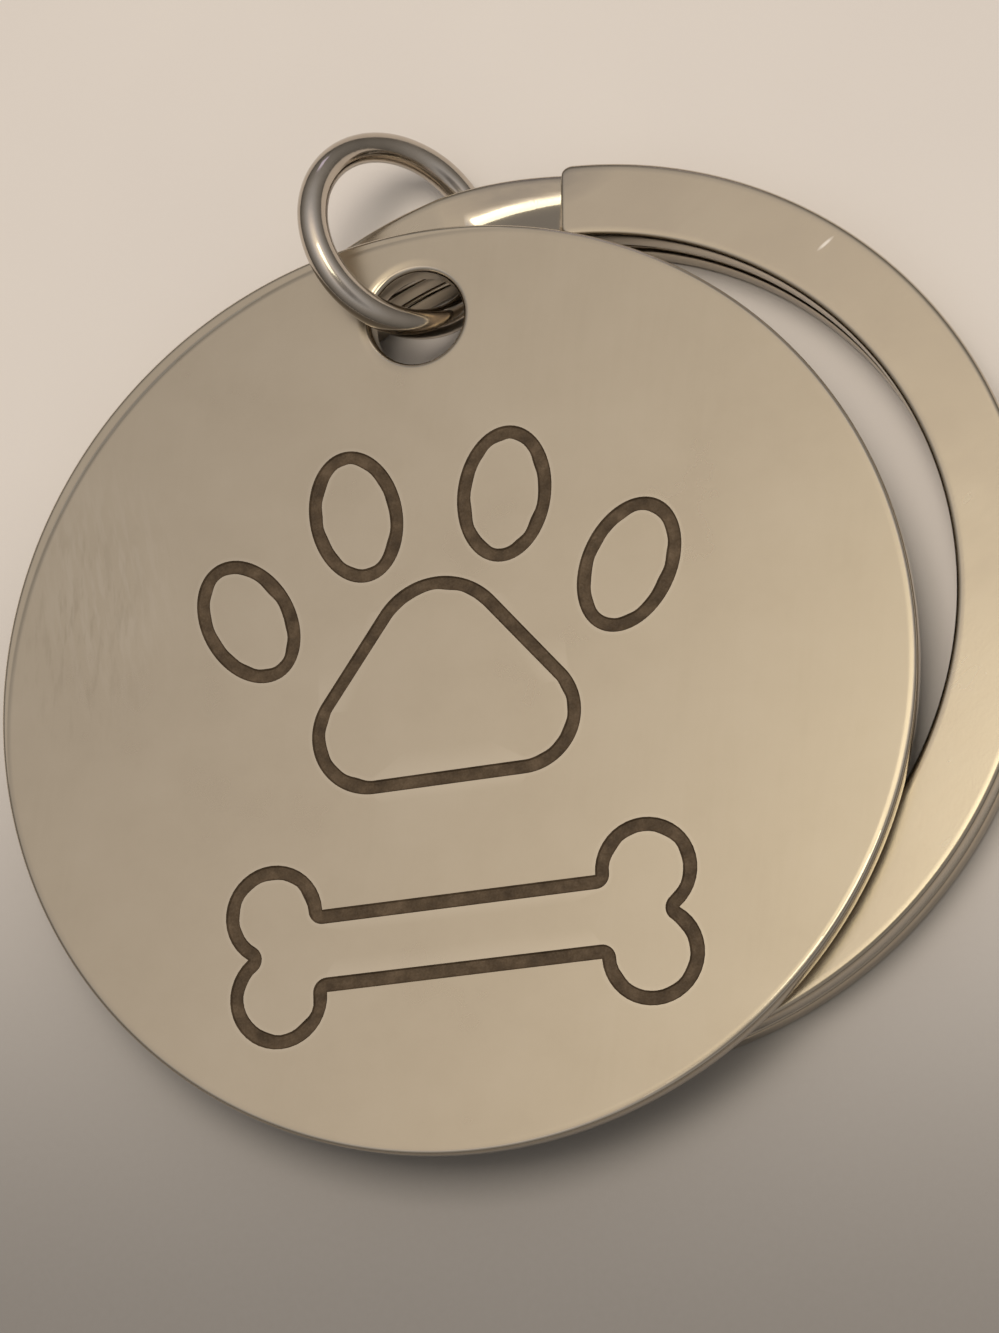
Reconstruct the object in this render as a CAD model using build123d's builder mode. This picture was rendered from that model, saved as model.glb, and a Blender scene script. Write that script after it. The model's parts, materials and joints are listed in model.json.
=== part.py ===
# Pet identification tag: a round steel blank that a small wire jump ring hangs on a flat split ring.
# The parts lie on a table at z = 0, with the origin at the split ring's centre on that table.
# +Y is up the tag's face.
import os
from math import asin, atan2, cos, degrees, radians, sin, sqrt, tan

from build123d import *

os.makedirs("parts", exist_ok=True)

# Tag blank
tag_diameter = 30.0
tag_thickness = 1.0
tag_edge_radius = 0.42
hole_margin = 1.4
hole_play = 0.8
hole_edge_radius = 0.28

# Split ring: one flat strip wound into two coils
ring_outer_diameter = 29.6
strip_width = 2.5
strip_edge_radius = 0.18
strip_end_radius = 0.35
coil_thickness = 1.05
least_coil_gap = 0.1
ramp_run = 2.3
ramp_sections = 9

# Jump ring: plain round wire, its ends butted together
wire_diameter = 1.0
strip_room = 1.45
seam_gap = 0.06

# How the pieces lie: the jump ring leans with its low side under the strip
link_azimuth = 108.3
ring_lean = 46.0
lean_heading = 6.0
wire_shift = 0.3
table_gap = 0.04
wire_gap = 0.08
crossing_room = 0.3
rest_gap = 0.1

# Engraving on the tag's face: a paw over a bone, both drawn as outlines
line_width = 0.45
engraving_depth = 0.08
paw_drop = 1.6
pad_lobe_radius = 1.95
pad_top_radius = 2.4
pad_half_spread = 2.45
pad_rise = 2.4
toe_length = 4.5
toe_width = 3.1
toe_distance = 7.6
toe_angles = (-56, -19, 19, 56)
toe_splay = 0.5
bone_length = 12.0
bone_width = 2.6
bone_knob_radius = 1.6
bone_drop = 8.3

# A fillet takes at most this share of its wall
largest_fillet = 0.45

# Split ring: radii of its strip, and of the strip's edges and ends
ring_radius = ring_outer_diameter / 2
strip_inner_radius = ring_radius - strip_width
strip_mid_radius = ring_radius - strip_width / 2
edge_radius = min(strip_edge_radius, largest_fillet * coil_thickness)
end_radius = min(strip_end_radius, largest_fillet * strip_width)

# Jump ring: its centre line clears the strip on both sides, and its low point lies just over the table
wire_radius = wire_diameter / 2
link_radius = strip_width / 2 + wire_radius + strip_room
lean_sine = sin(radians(ring_lean))
lean_cosine = cos(radians(ring_lean))
link_height = table_gap + wire_radius + link_radius * lean_sine

# The upper coil is high enough for the wire to pass under it, out to both edges of the strip
wire_climb = (link_radius - sqrt(link_radius**2 - (strip_width / 2) ** 2)) * lean_sine
coil_pitch = max(table_gap + wire_diameter + wire_climb + wire_gap, coil_thickness + least_coil_gap)
ring_height = coil_pitch + coil_thickness

# The tag lies flat on the upper coil
tag_bottom = ring_height + rest_gap
tag_top = tag_bottom + tag_thickness
tag_middle = tag_bottom + tag_thickness / 2

# The wire crosses the middle of the tag's thickness on a slope, which sets the size of the hole
crossing_rise = (tag_middle - link_height) / lean_sine
crossing_reach = sqrt(link_radius**2 - crossing_rise**2)
crossing_slope = asin(crossing_reach / link_radius * lean_sine)
hole_diameter = wire_diameter / sin(crossing_slope) + tag_thickness / tan(crossing_slope) + hole_play
hole_distance = tag_diameter / 2 - hole_margin - hole_diameter / 2

# Level directions of the jump ring: down its lean, and across it towards the outside of the split ring
heading = radians(lean_heading)
down = Vector(cos(heading), sin(heading), 0)
across = Vector(-sin(heading), cos(heading), 0)
rise = Vector(0, 0, 1) * lean_sine - down * lean_cosine
link_axis = across.cross(rise)

# The jump ring is centred on the strip that it goes round, and the hole stands where the wire crosses the tag
hole_along = strip_mid_radius * cos(radians(link_azimuth) - heading)
low_along = hole_along - wire_shift + crossing_rise * lean_cosine + link_radius * lean_cosine
link_across = sqrt(strip_mid_radius**2 - low_along**2)
hole_center = down * hole_along + across * (link_across - crossing_reach)
link_along = low_along - link_radius * lean_cosine
link_center = down * link_along + across * link_across + Vector(0, 0, link_height)
tag_center = hole_center - Vector(0, hole_distance, 0)

# Azimuths on the split ring: the wire passes under the strip between the lower coil's end and the ramp
wire_azimuth = degrees(atan2(low_along * sin(heading) + link_across * cos(heading),
                             low_along * cos(heading) - link_across * sin(heading)))
wire_half_angle = degrees((wire_radius + crossing_room) / strip_inner_radius)
climb_angle = degrees(wire_climb / tan(radians(ring_lean)) / strip_inner_radius)
ramp_top = wire_azimuth - wire_half_angle
ramp_foot = ramp_top - degrees(ramp_run / strip_mid_radius)
lower_end = wire_azimuth + wire_half_angle + climb_angle
upper_end = ramp_foot


def radial(azimuth):
    return Vector(cos(radians(azimuth)), sin(radians(azimuth)), 0)


def section_plane(azimuth):
    return Plane(origin=(0, 0, 0), x_dir=radial(azimuth), z_dir=radial(azimuth - 90))


# Round steel blank with a hole near its rim
with BuildPart() as tag_disc:
    with BuildSketch(Plane(origin=tag_center + Vector(0, 0, tag_bottom))):
        Circle(tag_diameter / 2)
        with Locations((0, hole_distance)):
            Circle(hole_diameter / 2, mode=Mode.SUBTRACT)
    extrude(amount=tag_thickness)
    rims = tag_disc.edges().filter_by(GeomType.CIRCLE).group_by(SortBy.RADIUS)
    fillet(rims[-1], min(tag_edge_radius, largest_fillet * tag_thickness))
    fillet(rims[0], min(hole_edge_radius, largest_fillet * tag_thickness))
    face_plane = Plane(origin=tag_center + Vector(0, 0, tag_top))
    with BuildSketch(face_plane):
        with Locations((0, pad_rise - paw_drop)):
            Circle(pad_top_radius)
        with Locations((-pad_half_spread, -paw_drop), (pad_half_spread, -paw_drop)):
            Circle(pad_lobe_radius)
        make_hull()
        offset(amount=-line_width, mode=Mode.SUBTRACT)
    with BuildSketch(face_plane):
        for angle in toe_angles:
            toe_x = toe_distance * sin(radians(angle))
            toe_y = toe_distance * cos(radians(angle)) - paw_drop
            with Locations(Location((toe_x, toe_y), -angle * toe_splay)):
                Ellipse(toe_width / 2, toe_length / 2)
                Ellipse(toe_width / 2 - line_width, toe_length / 2 - line_width, mode=Mode.SUBTRACT)
    with BuildSketch(face_plane):
        with Locations((0, -bone_drop)):
            Rectangle(bone_length, bone_width)
            with GridLocations(bone_length, bone_width, 2, 2):
                Circle(bone_knob_radius)
        offset(amount=-line_width, mode=Mode.SUBTRACT)
    extrude(amount=-engraving_depth, mode=Mode.SUBTRACT)
tag_disc.part.label = "tag_disc"
export_step(tag_disc.part, "parts/tag_disc.step")

# Split ring: lower coil, ramp and upper coil of one strip
with BuildPart() as split_ring:
    with BuildSketch(section_plane(lower_end)):
        with Locations((strip_mid_radius, coil_thickness / 2)):
            RectangleRounded(strip_width, coil_thickness, edge_radius)
    revolve(axis=Axis.Z, revolution_arc=360 - (lower_end - ramp_foot))
    for step in range(ramp_sections):
        share = step / (ramp_sections - 1)
        climb = coil_pitch * share**2 * (3 - 2 * share)
        with BuildSketch(section_plane(ramp_foot + share * (ramp_top - ramp_foot))):
            with Locations((strip_mid_radius, climb + coil_thickness / 2)):
                RectangleRounded(strip_width, coil_thickness, edge_radius)
    loft()
    with BuildSketch(section_plane(ramp_top)):
        with Locations((strip_mid_radius, coil_pitch + coil_thickness / 2)):
            RectangleRounded(strip_width, coil_thickness, edge_radius)
    revolve(axis=Axis.Z, revolution_arc=360 - (ramp_top - upper_end))
    for azimuth, turn, height in ((lower_end, 1, 0), (upper_end, -1, coil_pitch)):
        with BuildSketch(Plane(origin=(0, 0, height), x_dir=radial(azimuth))):
            for edge, inward in ((ring_radius, -1), (strip_inner_radius, 1)):
                with Locations((edge, 0)):
                    Rectangle(2 * end_radius, 2 * end_radius)
                with Locations((edge + inward * end_radius, turn * end_radius)):
                    Circle(end_radius, mode=Mode.SUBTRACT)
        extrude(amount=coil_thickness, mode=Mode.SUBTRACT)
split_ring.part.label = "split_ring"
export_step(split_ring.part, "parts/split_ring.step")

# Jump ring: round wire bent to a circle, with its butted seam at the low point
with BuildPart() as jump_ring:
    seam_angle = degrees(seam_gap / link_radius)
    seam_start = (rise * -1).rotate(Axis((0, 0, 0), link_axis), seam_angle / 2)
    with BuildSketch(Plane(origin=link_center, x_dir=seam_start, z_dir=seam_start.cross(link_axis))):
        with Locations((link_radius, 0)):
            Circle(wire_radius)
    revolve(axis=Axis(link_center, link_axis), revolution_arc=360 - seam_angle)
jump_ring.part.label = "jump_ring"
export_step(jump_ring.part, "parts/jump_ring.step")

print("tag hole", hole_center, "height", tag_middle, "diameter", hole_diameter)
print("jump ring centre", link_center, "axis", link_axis, "radius", link_radius)
print("split ring height", ring_height, "coil pitch", coil_pitch, "ramp", ramp_foot, ramp_top)
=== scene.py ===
import json
from math import asin, atan2, ceil, cos, degrees, hypot, pi, radians, sin, sqrt

import bmesh
import bpy
from mathutils import Matrix, Vector, noise
from mathutils.geometry import delaunay_2d_cdt


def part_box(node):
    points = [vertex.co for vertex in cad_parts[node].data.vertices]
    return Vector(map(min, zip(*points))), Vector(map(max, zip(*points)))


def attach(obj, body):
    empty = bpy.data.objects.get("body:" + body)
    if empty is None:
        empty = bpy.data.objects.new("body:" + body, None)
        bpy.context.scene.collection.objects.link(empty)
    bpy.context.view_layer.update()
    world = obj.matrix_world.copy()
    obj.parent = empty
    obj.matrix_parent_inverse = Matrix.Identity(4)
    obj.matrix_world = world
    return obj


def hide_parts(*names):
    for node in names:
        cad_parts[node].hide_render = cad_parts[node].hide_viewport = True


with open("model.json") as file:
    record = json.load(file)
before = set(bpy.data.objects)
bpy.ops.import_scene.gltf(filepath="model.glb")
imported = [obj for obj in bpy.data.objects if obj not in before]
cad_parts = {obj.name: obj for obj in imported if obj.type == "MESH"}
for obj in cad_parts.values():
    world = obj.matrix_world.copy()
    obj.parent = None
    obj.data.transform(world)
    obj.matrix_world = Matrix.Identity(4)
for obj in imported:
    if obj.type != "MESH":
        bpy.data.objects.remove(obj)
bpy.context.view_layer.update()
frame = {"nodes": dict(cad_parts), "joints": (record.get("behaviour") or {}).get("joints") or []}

mm = 0.001  # every size below is in millimetres
weldGap, sliverLength = 1e-4, 1e-5  # points this close become one, edges this short go
joints = {joint["name"]: joint for joint in frame["joints"]}
print("frame loaded:", sorted(frame["nodes"]))


# small helpers for shader trees

def addNode(tree, kind, sockets=None, **settings):
    node = tree.nodes.new("ShaderNode" + kind)
    for name, value in settings.items():
        setattr(node, name, value)
    for name, value in (sockets or {}).items():
        if isinstance(value, bpy.types.NodeSocket):
            tree.links.new(value, node.inputs[name])
        else:
            node.inputs[name].default_value = value
    return node


def addMath(tree, operation, *values):
    return addNode(tree, "Math", dict(enumerate(values)), operation=operation).outputs[0]


def addRamp(tree, factor, stops):
    ramp = addNode(tree, "ValToRGB", {"Fac": factor})
    elements = ramp.color_ramp.elements
    while len(elements) < len(stops):
        elements.new(0.5)
    for element, (place, colour) in zip(elements, stops):
        element.position = place
        element.color = (*colour, 1)
    return ramp.outputs["Color"]


def addRange(tree, value, fromLow, fromHigh, toLow, toHigh, **settings):
    node = addNode(tree, "MapRange", {"Value": value, "From Min": fromLow, "From Max": fromHigh,
                                      "To Min": toLow, "To Max": toHigh}, **settings)
    return node.outputs["Result"]


def addNoise(tree, vector, size, detail=3.0, roughness=0.55):
    # size is the width of one blotch
    node = addNode(tree, "TexNoise", {"Vector": vector, "Scale": 1 / (size * mm),
                                      "Detail": detail, "Roughness": roughness})
    return node.outputs["Fac"]


def addLines(tree, place, turn, length, stretch):
    # streaks that run along the turned x axis, length long and as narrow as the stretch makes them
    turned = addNode(tree, "Mapping", {"Vector": place, "Rotation": (0, 0, radians(turn)),
                                       "Scale": (1, 1 / stretch, 1 / stretch)}, vector_type="TEXTURE")
    return addNoise(tree, turned.outputs["Vector"], length, detail=2.0, roughness=0.6)


def addSpot(tree, place, centre, turn, halfSize, core=0.35):
    # 1 in the core of a turned oval, falling to 0 at its edge
    moved = addNode(tree, "Mapping", {"Vector": place, "Location": Vector(centre) * mm,
                                      "Rotation": (0, 0, radians(turn)), "Scale": Vector(halfSize) * mm},
                    vector_type="TEXTURE")
    reach = addNode(tree, "VectorMath", {0: moved.outputs["Vector"]}, operation="LENGTH").outputs["Value"]
    return addRange(tree, reach, core, 1.0, 1.0, 0.0)


def tintOver(tree, share, colour, tint):
    # lays a plain tint over a colour
    node = addNode(tree, "Mix", {"Factor": share}, data_type="RGBA")
    under, over = [socket for socket in node.inputs if socket.type == "RGBA"]
    tree.links.new(colour, under)
    over.default_value = (*tint, 1)
    return [socket for socket in node.outputs if socket.type == "RGBA"][0]


def newMaterial(name):
    material = bpy.data.materials.new(name)
    material.use_nodes = True
    place = addNode(material.node_tree, "TexCoord").outputs["Object"]
    return material, material.node_tree, place


def finishMaterial(tree, look, colour, gloss, relief):
    bump = addNode(tree, "Bump", {"Height": relief, "Strength": look["bumpStrength"],
                                  "Distance": look["grainHeight"] * mm})
    shader = tree.nodes["Principled BSDF"]
    tree.links.new(colour, shader.inputs["Base Color"])
    tree.links.new(gloss, shader.inputs["Roughness"])
    tree.links.new(bump.outputs["Normal"], shader.inputs["Normal"])
    shader.inputs["Metallic"].default_value = look["metallic"]


# small helpers for shapes

def clamp(share):
    return min(1, max(0, share))


def easeStep(share):
    # from 0 to 1, level at both ends
    share = clamp(share)
    return share * share * (3 - 2 * share)


def easeIn(share):
    # from 0 to 1, level at its start only
    return 2 * easeStep(share / 2)


def circlePoints(centre, radius, count):
    angles = [2 * pi * i / count for i in range(count)]
    return [centre + radius * Vector((cos(angle), sin(angle))) for angle in angles]


def quarterRound(edge, side, radius, steps, lean=0.0):
    # (place, drop) pairs over a rounded edge, from the flat face down to the wall at edge
    pairs = []
    for step in range(steps + 1):
        angle = lean + (pi / 2 - lean) * step / steps
        pairs.append((edge + side * radius * (1 - sin(angle)), radius * (cos(lean) - cos(angle))))
    return pairs


def insidePolygon(point, polygon):
    inside = False
    for i in range(len(polygon)):
        a, b = polygon[i - 1], polygon[i]
        if (a.y > point.y) != (b.y > point.y):
            if point.x < (b.x - a.x) * (point.y - a.y) / (b.y - a.y) + a.x:
                inside = not inside
    return inside


def bridgeRings(shape, rings, material=0):
    # bands of faces between neighbouring closed rings of points
    for first, second in zip(rings, rings[1:]):
        for i in range(len(first)):
            j = (i + 1) % len(first)
            face = shape.faces.new((first[i], first[j], second[j], second[i]))
            face.material_index = material


def polishEdges(shape, index, steepness):
    # steep faces of the plain steel take the polished edge finish
    shape.normal_update()
    for face in shape.faces:
        if face.material_index == 0 and abs(face.normal.z) < steepness:
            face.material_index = index


def finishMesh(shape, name, materials, sharpAngle=40):
    # bmesh to object: clean normals, smooth faces and sharp creases
    bmesh.ops.remove_doubles(shape, verts=shape.verts, dist=weldGap * mm)
    bmesh.ops.dissolve_degenerate(shape, edges=shape.edges, dist=sliverLength * mm)
    bmesh.ops.recalc_face_normals(shape, faces=shape.faces)
    for face in shape.faces:
        face.smooth = True
    for edge in shape.edges:
        if len(edge.link_faces) == 2:
            edge.smooth = edge.calc_face_angle() < radians(sharpAngle)
    mesh = bpy.data.meshes.new(name)
    shape.to_mesh(mesh)
    shape.free()
    for material in materials:
        mesh.materials.append(material)
    piece = bpy.data.objects.new(name, mesh)
    bpy.context.scene.collection.objects.link(piece)
    return piece


# the part of a noise's range that each use of it takes

noiseSpan = {
    "gloss": (0.3, 0.7),
    "patch": (0.42, 0.62),
    "rubbedTint": (0.25, 0.6),
    "rubbedGloss": (0.2, 0.6),
}


# satin steel: soft mottling, fine grain and rubbed lines, with scratch patches, patches of painted shade
# and a painted highlight beside engraved lines laid over the colour

def makeSteel(name, look):
    material, tree, place = newMaterial(name)
    mottle = addNoise(tree, place, look["mottleSize"], detail=5.0, roughness=0.6)
    grain = addNoise(tree, place, look["grainSize"], detail=1.0)
    lines = addLines(tree, place, look["brushTurn"], look["brushSize"], look["brushStretch"])
    patches = addNoise(tree, place, look["patchSize"], detail=2.0)
    patch = addRange(tree, patches, *noiseSpan["patch"], look["brushLeast"], 1.0)
    rubbed = addMath(tree, "MULTIPLY", lines, patch)
    share = addRange(tree, rubbed, *noiseSpan["rubbedTint"], 0.0, look["brushTint"])
    colour = tintOver(tree, share, addRamp(tree, mottle, look["tints"]), look["rubbedTint"])
    # streaked ovals tinted over the colour: scratch patches, painted shade and a bright streak
    for scuffOrPaintedLight in look["scuffsAndPaintedLight"]:
        streaks = addLines(tree, place, scuffOrPaintedLight["turn"], scuffOrPaintedLight["lineLength"], scuffOrPaintedLight["stretch"])
        spot = addSpot(tree, place, scuffOrPaintedLight["centre"], scuffOrPaintedLight["turn"], scuffOrPaintedLight["halfSize"])
        share = addMath(tree, "MULTIPLY", spot, addRange(tree, streaks, *scuffOrPaintedLight["range"]))
        colour = tintOver(tree, share, colour, scuffOrPaintedLight["tint"])
    if look.get("paintedHighlightShare"):  # painted highlight: a lighter rim beside the engraved lines
        paintedHighlightMask = addNode(tree, "Attribute", attribute_name="paintedHighlight").outputs["Fac"]
        share = addRange(tree, paintedHighlightMask, 0.0, 1.0, 0.0, look["paintedHighlightShare"])
        colour = tintOver(tree, share, colour, look["paintedHighlightTint"])
    mottledGloss = addRange(tree, mottle, *noiseSpan["gloss"], *look["roughness"])
    rubbedGloss = addRange(tree, rubbed, *noiseSpan["rubbedGloss"], 0.0, look["brushRough"])
    gloss = addMath(tree, "ADD", mottledGloss, rubbedGloss)
    if "shineTint" in look:  # burnished where the strip was folded
        shine = addNode(tree, "Attribute", attribute_name="shine").outputs["Fac"]
        colour = tintOver(tree, shine, colour, look["shineTint"])
        gloss = addRange(tree, shine, 0.0, 1.0, gloss, look["shineRough"])
    scratches = addRange(tree, rubbed, 0.0, 1.0, 0.0, look["brushDepth"])
    finishMaterial(tree, look, colour, gloss, addMath(tree, "ADD", grain, scratches))
    return material


# what differs from the satin steel on a tumbled edge
polishedEdge = {
    "tints": [(0.3, (0.53, 0.468, 0.38)), (0.5, (0.56, 0.495, 0.405)), (0.7, (0.59, 0.523, 0.43))],
    "roughness": (0.09, 0.14),
    "brushRough": 0.02,
    "bumpStrength": 0.15,
    "scuffsAndPaintedLight": (),
    "paintedHighlightShare": 0.0,
}


# dark floor of the engraved lines

engravingLook = {
    "tints": [(0.3, (0.052, 0.034, 0.018)), (0.5, (0.083, 0.056, 0.031)), (0.75, (0.135, 0.094, 0.056))],
    "blotchSize": 0.5,
    "grainSize": 0.07,
    "grainHeight": 0.02,
    "bumpStrength": 0.7,
    "roughness": (0.5, 0.8),
    "metallic": 0.35,
}


def makeEngraving(name, look):
    material, tree, place = newMaterial(name)
    blotch = addNoise(tree, place, look["blotchSize"], detail=5.0, roughness=0.6)
    grain = addNoise(tree, place, look["grainSize"], detail=2.0)
    gloss = addRange(tree, grain, *noiseSpan["gloss"], *look["roughness"])
    finishMaterial(tree, look, addRamp(tree, blotch, look["tints"]), gloss, grain)
    return material


# the tag: round blank with a pressed rim, a hole and an engraved paw and bone

tagBlank = {
    "around": 360,  # points round the rim
    "edgeRadius": 0.15,
    "edgeLean": 12,  # slope at which the rounded edge starts, in degrees
    "edgeSteps": 7,
    "backRound": 0.42,  # the lower edge is rounder
    "bandFlat": 0.3,  # pressed band along the rim, set off centre so that it shows at the upper left
    "bandHeading": 132,
    "bandSpread": 55,
    "bandRun": 0.16,
    "bandSteps": 6,
    "bandDrop": 0.024,
    "bandLeast": 0.2,  # share of the drop that is left beside the band
    "bandFade": 4,
    "bandGuards": (0.15, 0.85),  # rings that keep the band's shading flat
    "holeAround": 120,
    "holeRoll": 0.18,
    "holeSteps": 10,
    "dishRun": 0.24,  # the drill's burr is scraped off on one side of the hole
    "dishDrop": 0.034,
    "dishHeading": 150,
    "dishFade": 2,
    "dishSteps": 6,
    "edgeSteepness": 0.984,  # faces steeper than this are polished
    "creaseGuard": 0.04,  # thin band that keeps the flat face's shading flat
    "fillSpacing": 0.9,
    "fillClear": 0.35,
    "fillMerge": 1e-6,
    "lineWidth": 0.45,
    "lineDepth": 0.08,
    "wallRun": 0.05,
    "wallDepth": 0.85,  # share of the depth at the foot of a line's wall
    "floorEdge": 0.3,  # share of the width at which a line is deepest
    "lineWaver": {"size": 0.7, "share": 0.12},
    # width of the painted highlight beside the engraved lines
    "paintedHighlightWidth": 0.14,
    "paintedHighlightRoom": 0.112,  # the painted highlight's outer points keep this far from every line
    "pawDrop": 1.6,
    "padTopRadius": 2.4,
    "padLobeRadius": 1.95,
    "padHalfSpread": 2.45,
    "padRise": 2.4,
    "padSteps": 150,
    "toeLength": 4.5,
    "toeWidth": 3.1,
    "toeDistance": 7.6,
    "toeAngles": (-56, -19, 19, 56),
    "toeSplay": 0.5,
    "toeSteps": 72,
    "boneLength": 12.0,
    "boneWidth": 2.6,
    "boneKnobRadius": 1.6,
    "boneDrop": 8.3,
    "boneKnobSteps": 26,
    "boneCornerSteps": 8,
    "boneNotchSteps": 4,
    "steel": {
        "tints": [(0.3, (0.436, 0.372, 0.283)), (0.5, (0.455, 0.389, 0.298)), (0.7, (0.471, 0.405, 0.313))],
        "mottleSize": 3.5,
        "grainSize": 0.16,
        "grainHeight": 0.004,
        "bumpStrength": 0.12,
        "brushTurn": 78,
        "brushStretch": 9.0,
        "brushSize": 3.0,
        "brushDepth": 0.9,
        "brushTint": 0.28,
        "brushRough": 0.03,
        "brushLeast": 0.15,
        "patchSize": 9.0,
        "rubbedTint": (0.485, 0.418, 0.326),
        "roughness": (0.27, 0.29),
        "metallic": 1.0,
        "scuffsAndPaintedLight": [
            {"centre": (-15.2, 2.6, 3.4), "halfSize": (5.0, 3.2, 40), "turn": 97, "lineLength": 1.6,
             "stretch": 6.0, "range": (0.46, 0.62, 0.0, 0.5), "tint": (0.505, 0.44, 0.35)},
            {"centre": (-16.0, 1.2, 3.4), "halfSize": (4.6, 2.6, 40), "turn": 86, "lineLength": 1.3,
             "stretch": 5.0, "range": (0.5, 0.66, 0.0, 0.45), "tint": (0.36, 0.305, 0.228)},
        ],
        # painted highlight beside the engraved lines
        "paintedHighlightTint": (0.56, 0.49, 0.39),
        "paintedHighlightShare": 0.4,
    },
}


# outlines of the engraving are lists of (x, y, inward x, inward y)

def pawPad(tag):
    # three circles wrapped by one taut line
    circles = [(0, tag["padRise"] - tag["pawDrop"], tag["padTopRadius"]),
               (-tag["padHalfSpread"], -tag["pawDrop"], tag["padLobeRadius"]),
               (tag["padHalfSpread"], -tag["pawDrop"], tag["padLobeRadius"])]
    outline = []
    for step in range(tag["padSteps"]):
        angle = 2 * pi * step / tag["padSteps"]
        c, s = cos(angle), sin(angle)
        x, y, r = max(circles, key=lambda circle: circle[0] * c + circle[1] * s + circle[2])
        outline.append((x + r * c, y + r * s, -c, -s))
    return outline


def pawToe(tag, angle):
    # an ellipse that leans with its place round the pad
    lean, distance = radians(angle), tag["toeDistance"]
    centre = Vector((distance * sin(lean), distance * cos(lean) - tag["pawDrop"]))
    spin = Matrix.Rotation(radians(-angle * tag["toeSplay"]), 2)
    a, b = tag["toeWidth"] / 2, tag["toeLength"] / 2
    outline = []
    for step in range(tag["toeSteps"]):
        t = 2 * pi * step / tag["toeSteps"]
        point = centre + spin @ Vector((a * cos(t), b * sin(t)))
        inward = -(spin @ Vector((b * cos(t), a * sin(t)))).normalized()
        outline.append((*point, *inward))
    return outline


def boneOutline(tag):
    # one quarter is a straight shank, an inside corner, a knob and half the notch between two knobs
    half, rise, knob = tag["boneLength"] / 2, tag["boneWidth"] / 2, tag["boneKnobRadius"]
    knobSteps, cornerSteps, notchSteps = tag["boneKnobSteps"], tag["boneCornerSteps"], tag["boneNotchSteps"]
    quarter = []
    for step in range(cornerSteps + 1):  # the corner stays put while its inward direction swings
        swing = -pi / 2 + pi / 2 * step / cornerSteps
        quarter.append((half - knob, rise, cos(swing), sin(swing)))
    for step in range(1, knobSteps + 1):
        angle = pi - (pi + asin(rise / knob)) * step / knobSteps
        quarter.append((half + knob * cos(angle), rise + knob * sin(angle), -cos(angle), -sin(angle)))
    notchX, notchY, startX, startY = quarter[-1]
    start = atan2(startY, startX)
    for step in range(1, notchSteps + 1):
        swing = start + (pi - start) * step / notchSteps
        quarter.append((notchX, notchY, cos(swing), sin(swing)))
    right = quarter + [(x, -y, nx, -ny) for x, y, nx, ny in reversed(quarter)]
    whole = right + [(-x, y, -nx, ny) for x, y, nx, ny in reversed(right)]
    return [(x, y - tag["boneDrop"], nx, ny) for x, y, nx, ny in whole]


def inset(outline, distance, waver):
    # moves an outline inward, a little unevenly, so that a line's width wavers
    moved = []
    for x, y, nx, ny in outline:
        uneven = noise.noise(Vector((x, y, 0)) / waver["size"]) * waver["share"]
        moved.append(Vector((x, y)) + Vector((nx, ny)) * distance * (1 + uneven))
    return moved


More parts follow.
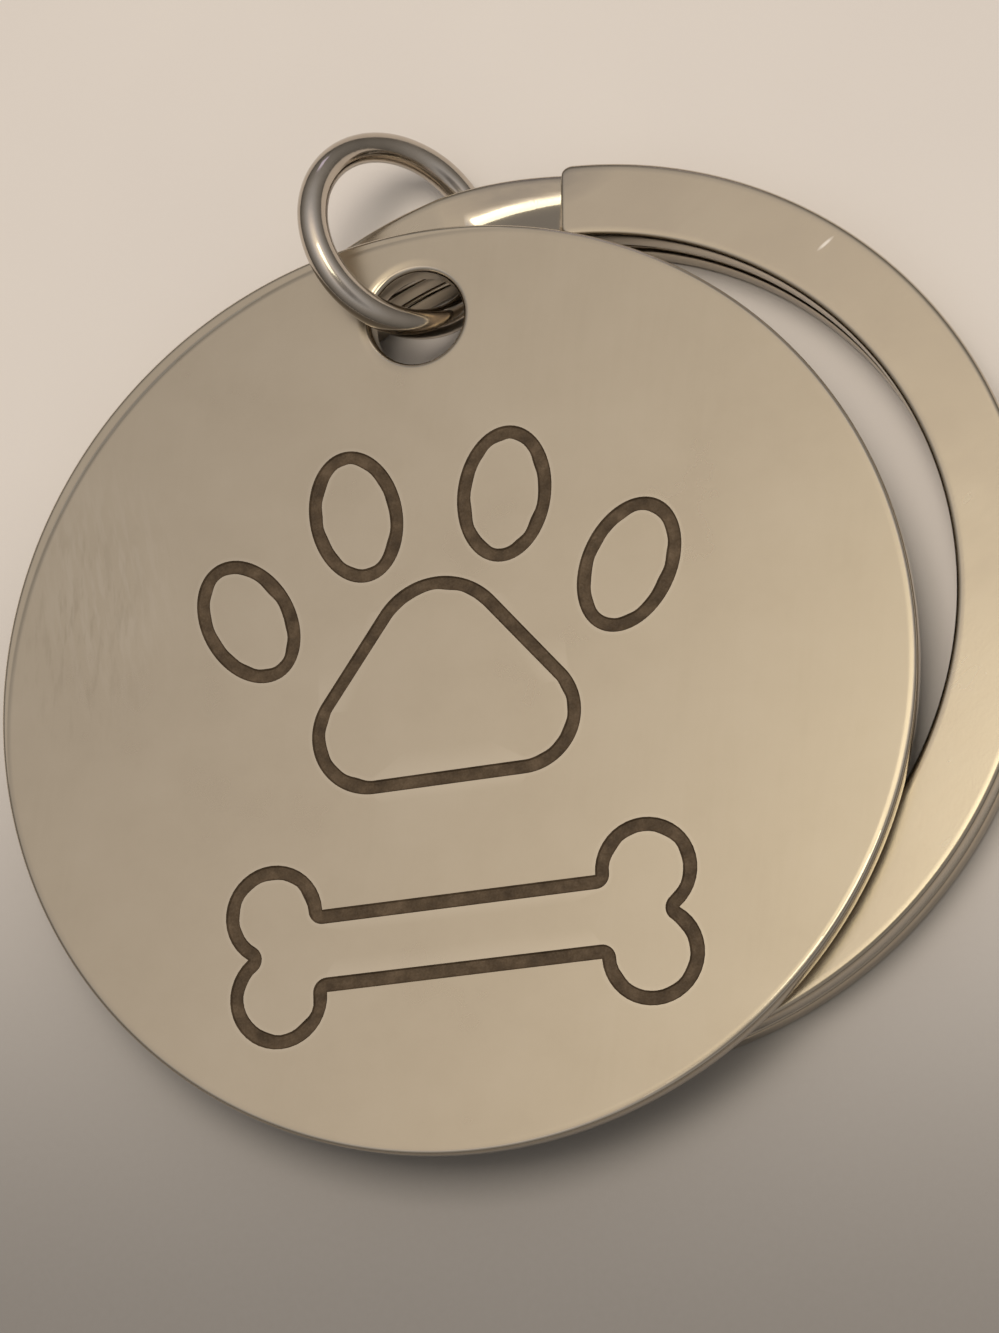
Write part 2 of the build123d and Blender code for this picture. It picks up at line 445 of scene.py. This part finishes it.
def buildTag(tag):
    low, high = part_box("tag_disc")
    middle = (low + high) / 2
    radius = (high.x - low.x) / 2 / mm
    bottom, top = low.z / mm, high.z / mm
    origin = Vector((middle.x, middle.y)) / mm  # points are set out from the middle of the tag
    pivot = Vector(joints["tag_swivel"]["pos_m"]) / mm
    holeCentre = Vector((pivot.x, pivot.y)) - origin
    node = frame["nodes"]["tag_disc"].data
    holeRadius = min((Vector(v.co.xy) / mm - origin - holeCentre).length for v in node.vertices)
    lean = radians(tag["edgeLean"])
    edgeStart = radius - tag["edgeRadius"] * (1 - sin(lean))
    rollReach = holeRadius + tag["holeRoll"]
    dishReach = rollReach + tag["dishRun"]

    shape = bmesh.new()
    # each point's share of the painted highlight beside the engraved lines
    paintedHighlight = shape.verts.layers.float.new("paintedHighlight")

    def vertex(point, z, glow=0.0):
        v = shape.verts.new(((origin.x + point.x) * mm, (origin.y + point.y) * mm, z * mm))
        v[paintedHighlight] = glow
        return v

    def plainRing(centre, ringRadius, count, z):
        return [vertex(p, z) for p in circlePoints(centre, ringRadius, count)]

    def rimPoints(reach):
        # points all round the tag, where reach gives the distance for an angle
        angles = [2 * pi * i / tag["around"] for i in range(tag["around"])]
        return [Vector((cos(angle), sin(angle))) * reach(angle) for angle in angles]

    def bandWidth(angle):
        # full in the middle of the band, falling to 0 at its ends
        crest = cos(radians(tag["bandSpread"]))
        share = (cos(angle - radians(tag["bandHeading"])) - crest) / (1 - crest)
        return tag["bandFlat"] * max(0, share)

    def bandStart(angle):
        # how far out the flat face reaches before it steps down to the band
        return edgeStart - bandWidth(angle) - tag["bandRun"]

    def pressedRing(reach, share, drop=0.0):
        # a ring of the rim, at a share of the depth that a tilted press left on two opposite sides
        loop = []
        for p in rimPoints(reach):
            side = atan2(p.y, p.x) - radians(tag["bandHeading"])
            sink = tag["bandLeast"] + (1 - tag["bandLeast"]) * cos(side) ** tag["bandFade"]
            loop.append(vertex(p, top - tag["bandDrop"] * sink * share - drop))
        return loop

    def dishedRing(ringRadius, share, drop=0.0):
        # a ring of the hole's upper edge, scraped lower on one side
        loop = []
        for p in circlePoints(holeCentre, ringRadius, tag["holeAround"]):
            side = atan2(p.y - holeCentre.y, p.x - holeCentre.x) - radians(tag["dishHeading"])
            sink = (0.5 + 0.5 * cos(side)) ** tag["dishFade"]
            loop.append(vertex(p, top - drop - tag["dishDrop"] * share * sink))
        return loop

    # rim: a pressed band on the face, then a small rounded edge above and a larger one below
    rim = []
    for step in range(tag["bandSteps"] + 1):
        share = step / tag["bandSteps"]
        rim.append(pressedRing(lambda angle: bandStart(angle) + tag["bandRun"] * share, easeIn(share)))
    for share in tag["bandGuards"]:
        rim.append(pressedRing(lambda angle: edgeStart - bandWidth(angle) * (1 - share), 1))
    for r, drop in quarterRound(radius, -1, tag["edgeRadius"], tag["edgeSteps"], lean):
        rim.append(pressedRing(lambda angle: r, 1, drop))
    for r, drop in reversed(quarterRound(radius, -1, tag["backRound"], tag["edgeSteps"])):
        rim.append(plainRing(Vector((0, 0)), r, tag["around"], bottom + drop))
    bridgeRings(shape, rim)

    # hole: a dish and a rolled edge above, a rolled edge below
    hole = []
    for step in range(tag["dishSteps"]):
        share = step / tag["dishSteps"]
        hole.append(dishedRing(dishReach - tag["dishRun"] * share, easeIn(share)))
    rolled = quarterRound(holeRadius, 1, tag["holeRoll"], tag["holeSteps"])
    hole += [dishedRing(r, 1, drop) for r, drop in rolled]
    hole += [plainRing(holeCentre, r, tag["holeAround"], bottom + drop) for r, drop in reversed(rolled)]
    bridgeRings(shape, hole)

    # engraved lines: sloped walls, and a floor that dips in its middle
    outlines = [pawPad(tag), boneOutline(tag)] + [pawToe(tag, angle) for angle in tag["toeAngles"]]
    width, depth = tag["lineWidth"], tag["lineDepth"]
    half = [(0, 0), (tag["wallRun"], depth * tag["wallDepth"]), (width * tag["floorEdge"], depth)]
    section = half + [(width - across, drop) for across, drop in reversed(half)]
    borders = []
    for outline in outlines:
        loops = []
        for across, drop in section:
            # the painted highlight is full along the top edges of each line
            glow = 1.0 if drop == 0 else 0.0
            loops.append([vertex(p, top - drop, glow) for p in inset(outline, across, tag["lineWaver"])])
        bridgeRings(shape, loops, material=1)
        borders += [loops[0], loops[-1]]

    def fillFace(z, loops, reach, holeReach, engraved=()):
        # flat triangles between the loops, with spare points that keep them even
        owners, edges = [], []
        for loop in loops:
            start, count = len(owners), len(loop)
            edges.extend((start + i, start + (i + 1) % count) for i in range(count))
            owners.extend(loop)
        fixed = [Vector((v.co.x / mm - origin.x, v.co.y / mm - origin.y)) for v in owners]
        lines = []
        for outline in engraved:
            lines.append((inset(outline, 0, tag["lineWaver"]), inset(outline, width, tag["lineWaver"])))
        near = [point for outer, inner in lines for point in outer + inner]

        def onFace(point, room):
            inRim = point.length <= reach(atan2(point.y, point.x)) - room
            return inRim and (point - holeCentre).length >= holeReach + room

        def clearOfLines(point, room):
            return all((point - other).length >= room for other in near)

        def onLine(point):
            for outer, inner in lines:
                if insidePolygon(point, outer) and not insidePolygon(point, inner):
                    return True
            return False

        spare = rimPoints(lambda angle: reach(angle) - tag["creaseGuard"])
        spare += circlePoints(holeCentre, holeReach + tag["creaseGuard"], tag["holeAround"])
        # points where the painted highlight beside the lines fades out
        for outline in engraved:
            for distance in (-tag["paintedHighlightWidth"], width + tag["paintedHighlightWidth"]):
                beside = inset(outline, distance, tag["lineWaver"])
                spare += [point for point in beside if clearOfLines(point, tag["paintedHighlightRoom"])]
        spacing = tag["fillSpacing"]
        count = int(radius / spacing) + 1
        for i in range(-count, count + 1):
            for j in range(-count, count + 1):  # rows of even triangles
                point = Vector(((i + 0.5 * (j % 2)) * spacing, j * spacing * sqrt(0.75)))
                if onFace(point, tag["fillClear"]) and clearOfLines(point, tag["fillClear"]):
                    spare.append(point)
        filled = delaunay_2d_cdt(fixed + spare, edges, [], 0, tag["fillMerge"])
        places, triangles, origins = filled[0], filled[2], filled[3]
        corners = []
        for place, sources in zip(places, origins):
            owner = [owners[s] for s in sources if s < len(owners)]
            corners.append(owner[0] if owner else vertex(place, z))
        for triangle in triangles:
            centre = sum((places[i] for i in triangle), Vector((0, 0))) / 3
            distinct = list(dict.fromkeys(corners[i] for i in triangle))
            if len(distinct) == 3 and onFace(centre, 0) and not onLine(centre):
                shape.faces.new(distinct)

    fillFace(top, [rim[0], hole[0]] + borders, bandStart, dishReach, outlines)
    fillFace(bottom, [rim[-1], hole[-1]], lambda angle: radius - tag["backRound"], rollReach)

    polishEdges(shape, 2, tag["edgeSteepness"])
    finishes = [makeSteel("satin_tag_steel", tag["steel"]), makeEngraving("dark_engraving", engravingLook),
                makeSteel("polished_tag_edge", {**tag["steel"], **polishedEdge})]
    piece = finishMesh(shape, "engraved_tag", finishes)
    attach(piece, "tag")
    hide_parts("tag_disc")
    print("tag:", len(piece.data.vertices), "points, hole radius", round(holeRadius, 3), "mm")


buildTag(tagBlank)


# the jump ring: drawn wire bent to a circle, its ends cut and pushed together

jumpRing = {
    "stations": 300,
    "sides": 44,
    "seamGap": 0.06,
    "cutBevel": 0.05,
    "bevelSteps": 4,
    "wander": 0.012,  # the bent wire isn't quite round
    "wanderSize": 2.4,
    "steel": {
        "tints": [(0.3, (0.51, 0.455, 0.39)), (0.5, (0.545, 0.487, 0.42)), (0.7, (0.58, 0.52, 0.45))],
        "mottleSize": 1.2,
        "grainSize": 0.12,
        "grainHeight": 0.004,
        "bumpStrength": 0.25,
        "brushTurn": 20,
        "brushStretch": 6.0,
        "brushSize": 0.9,
        "brushDepth": 0.8,
        "brushTint": 0.25,
        "brushRough": 0.05,
        "brushLeast": 0.2,
        "patchSize": 2.5,
        "rubbedTint": (0.58, 0.535, 0.485),
        "roughness": (0.09, 0.16),
        "metallic": 1.0,
        "scuffsAndPaintedLight": (),
    },
}


def buildJumpRing(ring):
    turn = joints["jump_ring_turn"]
    centre = Vector(turn["pos_m"]) / mm
    axis = Vector(turn["axis"]).normalized()
    node = frame["nodes"]["jump_ring"].data
    offsets = [v.co / mm - centre for v in node.vertices]
    wire = max(abs(offset.dot(axis)) for offset in offsets)
    bend = max((offset - offset.dot(axis) * axis).length for offset in offsets) - wire
    lowest = -(Vector((0, 0, 1)) - axis.z * axis).normalized()
    side = axis.cross(lowest)

    # stations along the wire, as (angle from the lowest point, wire radius), with rounded cut ends
    gap = ring["seamGap"] / bend
    cut = []
    for along, drop in reversed(quarterRound(0, 1, ring["cutBevel"], ring["bevelSteps"])):
        cut.append((gap / 2 + along / bend, wire - drop))
    otherCut = [(2 * pi - angle, size) for angle, size in reversed(cut)]
    start, stop = cut[-1][0], otherCut[0][0]
    body = [(start + (stop - start) * i / ring["stations"], wire) for i in range(1, ring["stations"])]

    shape = bmesh.new()
    loops = []
    for angle, size in cut + body + otherCut:
        outward = lowest * cos(angle) + side * sin(angle)
        loop = []
        for i in range(ring["sides"]):
            around = 2 * pi * i / ring["sides"]
            spot = centre + outward * (bend + size * cos(around)) + axis * (size * sin(around))
            dent = noise.noise(spot / ring["wanderSize"]) * ring["wander"]
            away = outward * cos(around) + axis * sin(around)
            loop.append(shape.verts.new((spot - away * abs(dent)) * mm))
        loops.append(loop)
    bridgeRings(shape, loops)
    shape.faces.new(loops[0])
    shape.faces.new(loops[-1])
    piece = finishMesh(shape, "wire_jump_ring", [makeSteel("polished_wire", ring["steel"])])
    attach(piece, "jump_ring")
    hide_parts("jump_ring")
    print("jump ring: wire", round(2 * wire, 3), "mm, bent to", round(2 * bend, 3), "mm")


buildJumpRing(jumpRing)


# the split ring: one flat strip in two coils, with a pressed ramp between them

splitRing = {
    "coilThickness": 1.05,
    "edgeRadius": 0.18,
    "edgeLargest": 0.9,  # an edge rounds off at most this share of half the strip
    "edgeSteps": 5,
    "wideSteps": 16,
    "wallSteps": 2,
    "edgeSteepness": 0.75,  # faces steeper than this are polished
    "endRadius": 0.35,
    "endBevel": 0.07,
    "endSteps": 8,
    "stepAngle": 1.0,
    "rampStepAngle": 0.25,
    "rampFoot": 73.0,  # places along the strip are degrees from +X
    "rampTop": 103.0,
    "rampEase": 0.6,  # 0 is a straight slope, 1 eases in and out
    "foldFoot": 86.0,  # the inner side of the ramp folds down ahead of the outer side
    "foldTop": 98.0,
    "foldEnd": 100.1,
    "foldPlace": (0.767, 0.638),  # share of the width, at the fold's foot and top
    "foldSlope": (0.4, 0.44),
    "foldBend": 1.4,  # radius of the bend
    "shineDip": 0.006,  # the strip is burnished where it is folded lower than this
    "wireRoom": (93.0, 97.0),  # from here on the ramp is thinned from below, to clear the jump ring
    "upperEnd": 86.172,
    "lowerEnd": 104.173,
    "endGap": 0.05,  # the thinned upper end clears the ramp below it
    "steel": {
        "tints": [(0.25, (0.442, 0.379, 0.291)), (0.5, (0.459, 0.394, 0.302)),
                  (0.75, (0.472, 0.406, 0.312))],
        "mottleSize": 2.5,
        "grainSize": 0.1,
        "grainHeight": 0.004,
        "bumpStrength": 0.18,
        "brushTurn": 35,
        "brushStretch": 5.0,
        "brushSize": 1.6,
        "brushDepth": 0.8,
        "brushTint": 0.25,
        "brushRough": 0.03,
        "brushLeast": 0.1,
        "patchSize": 5.0,
        "rubbedTint": (0.50, 0.435, 0.341),
        "roughness": (0.22, 0.25),
        "metallic": 1.0,
        "scuffsAndPaintedLight": [
            # a short bright streak across the strip's outer top edge
            {"centre": (9.37, 10.47, 2.35), "halfSize": (0.38, 0.075, 40), "turn": 34, "lineLength": 1.0,
             "stretch": 3.0, "range": (0.2, 0.5, 0.3, 1.0), "tint": (0.78, 0.72, 0.64)},
            # painted shade: darkens the outer part of the ramp
            {"centre": (-0.2, 14.3, 2.0), "halfSize": (3.2, 1.1, 40), "turn": 3, "lineLength": 0.9,
             "stretch": 2.0, "range": (0.3, 0.6, 0.75, 1.0), "tint": (0.335, 0.291, 0.238)},
        ],
        "shineTint": (0.6, 0.535, 0.44),
        "shineRough": 0.1,
    },
}


def stripSection(ring, halfWidth, halfHeight):
    # rounded rectangle, counter-clockwise from the outer bottom corner
    largest = ring["edgeLargest"] * min(halfWidth, halfHeight)
    rounding = min(ring["edgeRadius"], largest)
    centres = []
    for sideX, sideY in ((1, -1), (1, 1), (-1, 1), (-1, -1)):
        centres.append(Vector((sideX * (halfWidth - rounding), sideY * (halfHeight - rounding))))
    points = []
    for quarter, centre in enumerate(centres):
        for step in range(ring["edgeSteps"] + 1):
            angle = radians(-90 + 90 * quarter + 90 * step / ring["edgeSteps"])
            points.append(centre + rounding * Vector((cos(angle), sin(angle))))
        angle = radians(90 * quarter)
        last = points[-1]
        goal = centres[(quarter + 1) % 4] + rounding * Vector((cos(angle), sin(angle)))
        steps = ring["wideSteps"] if quarter % 2 else ring["wallSteps"]
        for step in range(1, steps):
            points.append(last.lerp(goal, step / steps))
    return points


def buildSplitRing(ring):
    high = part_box("split_ring")[1]
    node = frame["nodes"]["split_ring"].data
    reach = [hypot(v.co.x, v.co.y) / mm for v in node.vertices]
    inner, outer = min(reach), max(reach)
    thickness = ring["coilThickness"]
    pitch = high.z / mm - thickness
    middle, halfWidth = (inner + outer) / 2, (outer - inner) / 2
    # azimuths run on from the lower end, through the ramp and the upper coil, to the upper end
    foot, rampEnd = ring["rampFoot"] + 360, ring["rampTop"] + 360
    first, last = ring["lowerEnd"], ring["upperEnd"] + 720

    def climb(azimuth):
        share = clamp((azimuth - foot) / (rampEnd - foot))
        return pitch * (share + (easeStep(share) - share) * ring["rampEase"])

    def dip(azimuth, across):
        # how far the folded inner side of the ramp lies under its outer side
        share = clamp((azimuth - 360 - ring["foldFoot"]) / (ring["foldTop"] - ring["foldFoot"]))
        foldLow, foldHigh = ring["foldPlace"]
        inside = 2 * halfWidth * (foldLow + (foldHigh - foldLow) * share - across)
        steepLow, steepHigh = ring["foldSlope"]
        growing = (azimuth - foot) / (ring["foldFoot"] + 360 - foot)
        fading = (ring["foldEnd"] + 360 - azimuth) / (ring["foldEnd"] - ring["foldTop"])
        steep = (steepLow + (steepHigh - steepLow) * share) * clamp(min(growing, fading))
        bend = ring["foldBend"] * steep
        if inside <= 0 or steep == 0:
            return 0
        return inside**2 / (2 * ring["foldBend"]) if inside < bend else steep * (inside - bend / 2)

    def rampBottom(azimuth):
        near, far = ring["wireRoom"]
        height = climb(azimuth)
        return height + (pitch - height) * easeStep((azimuth - 360 - near) / (far - near))

    def underside(azimuth):
        # the upper end is thinned from below where the ramp rises towards it
        return max(pitch, climb(azimuth - 360) + thickness + ring["endGap"])

    def angles(start, stop, step):
        count = ceil((stop - start) / step)
        return [start + (stop - start) * i / count for i in range(count)]

    # stations along the strip, as (azimuth, bottom, top, half width), with rounded ends
    bevel = ring["endBevel"]
    degreesPerMm = degrees(1 / middle)
    closing = []
    for narrow, along in quarterRound(0, 1, ring["endRadius"], ring["endSteps"]):
        thin = bevel * (1 - sin(min(1, along / bevel) * pi / 2))
        closing.append((along * degreesPerMm, narrow, thin))
    endAngle = closing[-1][0]
    stations = []
    for along, narrow, thin in closing:
        stations.append((first + along, thin, thickness - thin, halfWidth - narrow))
    for azimuth in angles(first + endAngle, foot, ring["stepAngle"])[1:]:
        stations.append((azimuth, 0, thickness, halfWidth))
    for azimuth in angles(foot, rampEnd, ring["rampStepAngle"]):
        stations.append((azimuth, rampBottom(azimuth), climb(azimuth) + thickness, halfWidth))
    for azimuth in angles(rampEnd, foot + 360, ring["stepAngle"]):
        stations.append((azimuth, pitch, pitch + thickness, halfWidth))
    for azimuth in angles(foot + 360, last - endAngle, ring["rampStepAngle"]):
        stations.append((azimuth, underside(azimuth), pitch + thickness, halfWidth))
    for along, narrow, thin in reversed(closing):
        bottom = underside(last - along)
        stations.append((last - along, bottom + thin, pitch + thickness - thin, halfWidth - narrow))

    shape = bmesh.new()
    shine = shape.verts.layers.float.new("shine")
    loops = []
    for azimuth, bottom, top, wide in stations:
        c, s = cos(radians(azimuth)), sin(radians(azimuth))
        loop = []
        for point in stripSection(ring, wide, (top - bottom) / 2):
            r, z = middle + point.x, (bottom + top) / 2 + point.y
            across = 0.5 + point.x / (2 * halfWidth)
            folded = dip(azimuth, across) if foot < azimuth < rampEnd else 0
            z -= folded * (0.5 + point.y / (top - bottom))  # the underside isn't folded
            loop.append(shape.verts.new((r * c * mm, r * s * mm, z * mm)))
            loop[-1][shine] = min(1, folded / ring["shineDip"])
        loops.append(loop)
    bridgeRings(shape, loops)
    shape.faces.new(loops[0])
    shape.faces.new(loops[-1])
    polishEdges(shape, 1, ring["edgeSteepness"])
    finishes = [makeSteel("satin_strip_steel", ring["steel"]),
                makeSteel("polished_strip_edge", {**ring["steel"], **polishedEdge})]
    piece = finishMesh(shape, "flat_split_ring", finishes)
    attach(piece, "split_ring")
    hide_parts("split_ring")
    print("split ring: strip", round(2 * halfWidth, 3), "mm wide, pitch", round(pitch, 3), "mm")


buildSplitRing(splitRing)


# floor: a plain pale sheet, with a painted soft shadow in front of the tag

floorSheet = {
    "half": 900.0,
    "drop": 0.004,
    "tints": [(0.3, (0.615, 0.575, 0.527)), (0.7, (0.635, 0.595, 0.543))],
    "paintedShadowTint": (0.215, 0.202, 0.185),  # painted soft shadow in front of the tag
    "paintedShadowHeading": (-0.14, -0.99, 0.0),
    "paintedShadowRise": (-9.0, 29.0),
    "paintedShadowFall": (34.0, 90.0),
    "blotchSize": 12.0,
    "grainSize": 0.25,
    "grainHeight": 0.01,
    "bumpStrength": 0.15,
    "roughness": (0.75, 0.9),
    "metallic": 0.0,
}


def buildFloor(floor):
    half, z = floor["half"] * mm, -floor["drop"] * mm
    corners = [(-half, -half, z), (half, -half, z), (half, half, z), (-half, half, z)]
    mesh = bpy.data.meshes.new("floor_sheet")
    mesh.from_pydata(corners, [], [(0, 1, 2, 3)])
    material, tree, place = newMaterial("pale_sheet")
    grain = addNoise(tree, place, floor["grainSize"])
    blotch = addNoise(tree, place, floor["blotchSize"], detail=2.0)
    # painted shadow: darker across the first span along the heading, pale again across the second
    ahead = addNode(tree, "VectorMath", {0: place, 1: floor["paintedShadowHeading"]}, operation="DOT_PRODUCT")
    ends = []
    for (near, far), (start, stop) in ((floor["paintedShadowRise"], (0, 1)), (floor["paintedShadowFall"], (1, 0))):
        ends.append(addRange(tree, ahead.outputs["Value"], near * mm, far * mm, start, stop,
                             interpolation_type="SMOOTHERSTEP"))
    share = addMath(tree, "MULTIPLY", *ends)
    colour = tintOver(tree, share, addRamp(tree, blotch, floor["tints"]), floor["paintedShadowTint"])
    gloss = addRange(tree, grain, *noiseSpan["gloss"], *floor["roughness"])
    finishMaterial(tree, floor, colour, gloss, grain)
    mesh.materials.append(material)
    sheet = bpy.data.objects.new("floor_sheet", mesh)
    bpy.context.scene.collection.objects.link(sheet)
    print("floor laid")


buildFloor(floorSheet)


# studio light: a soft ceiling over a dim room, and three panels

studio = {
    "ceilingHeading": (0.07, 0.02, 1.0),
    "ceiling": [  # degrees from that heading
        (0, (1.7, 1.54, 1.25)),
        (8, (1.48, 1.34, 1.13)),
        (15, (1.26, 1.16, 1.02)),
        (22, (1.04, 0.96, 0.89)),
        (30, (0.764, 0.724, 0.712)),
        (42, (0.5, 0.49, 0.49)),
        (60, (0.32, 0.3, 0.28)),
        (90, (0.11, 0.1, 0.085)),
    ],
    "cardHeading": (0.27, -0.3, 0.9),  # a dark card beside the camera
    "cardEdge": (12, 26),
    "cardShade": 0.3,
    "panels": {  # all aimed at the origin
        "over_panel": {"place": (37, 12, 255), "size": (104, 74), "power": 0.05,
                       "colour": (1.0, 0.97, 0.78), "glossy": True},
        "floor_panel": {"place": (5, 35, 255), "size": (110, 110), "power": 0.365,
                        "colour": (1.0, 0.905, 0.845), "glossy": False},
        "back_panel": {"place": (20, 250, 100), "size": (60, 40), "power": 0.006,
                       "colour": (0.8, 0.72, 1.0), "glossy": True},
    },
}


def buildSky(setup):
    world = bpy.data.worlds.new("soft_ceiling")
    world.use_nodes = True
    bpy.context.scene.world = world
    tree = world.node_tree
    direction = addNode(tree, "TexCoord").outputs["Generated"]

    def angleFrom(heading):
        heading = Vector(heading).normalized()
        facing = addNode(tree, "VectorMath", {0: direction, 1: heading}, operation="DOT_PRODUCT")
        return addMath(tree, "ARCCOSINE", facing.outputs["Value"])

    widest = setup["ceiling"][-1][0]
    stops = [(angle / widest, colour) for angle, colour in setup["ceiling"]]
    share = addRange(tree, angleFrom(setup["ceilingHeading"]), 0.0, radians(widest), 0.0, 1.0)
    near, far = (radians(edge) for edge in setup["cardEdge"])
    shade = addRange(tree, angleFrom(setup["cardHeading"]), near, far, setup["cardShade"], 1.0)
    sky = tree.nodes["Background"]
    tree.links.new(addRamp(tree, share, stops), sky.inputs["Color"])
    tree.links.new(shade, sky.inputs["Strength"])
    print("ceiling set")


def buildPanels(setup):
    for name, panel in setup["panels"].items():
        lamp = bpy.data.lights.new(name, "AREA")
        lamp.shape = "RECTANGLE"
        lamp.size, lamp.size_y = (side * mm for side in panel["size"])
        lamp.energy = panel["power"]
        lamp.color = panel["colour"]
        holder = bpy.data.objects.new(name, lamp)
        holder.location = Vector(panel["place"]) * mm
        holder.rotation_euler = (-holder.location).to_track_quat("-Z", "Y").to_euler()
        holder.visible_camera = False
        holder.visible_glossy = panel["glossy"]
        bpy.context.scene.collection.objects.link(holder)
    print("panels set:", ", ".join(setup["panels"]))


buildSky(studio)
buildPanels(studio)


# camera: above the tag, a little to the lower right

viewpoint = {
    "place": (22.576, -28.267, 97.483),
    "aim": (-2.339, -1.784, 2.373),
    "upHeading": 4.375,  # degrees from +Y towards +X
    "lens": 86.94,
    "sensor": 36.0,
    "clip": (1, 5000),
}


def buildCamera(setup):
    lens = bpy.data.cameras.new("photo_camera")
    lens.lens = setup["lens"]
    lens.sensor_width = setup["sensor"]
    lens.clip_start, lens.clip_end = (distance * mm for distance in setup["clip"])
    camera = bpy.data.objects.new("photo_camera", lens)
    place = Vector(setup["place"])
    forward = (Vector(setup["aim"]) - place).normalized()
    upHeading = radians(setup["upHeading"])
    right = forward.cross(Vector((sin(upHeading), cos(upHeading), 0))).normalized()
    up = right.cross(forward)
    turned = Matrix((right, up, -forward)).transposed().to_4x4()
    camera.matrix_world = Matrix.Translation(place * mm) @ turned
    bpy.context.scene.collection.objects.link(camera)
    bpy.context.scene.camera = camera
    bpy.context.scene.view_settings.view_transform = "Standard"
    print("camera set")


buildCamera(viewpoint)
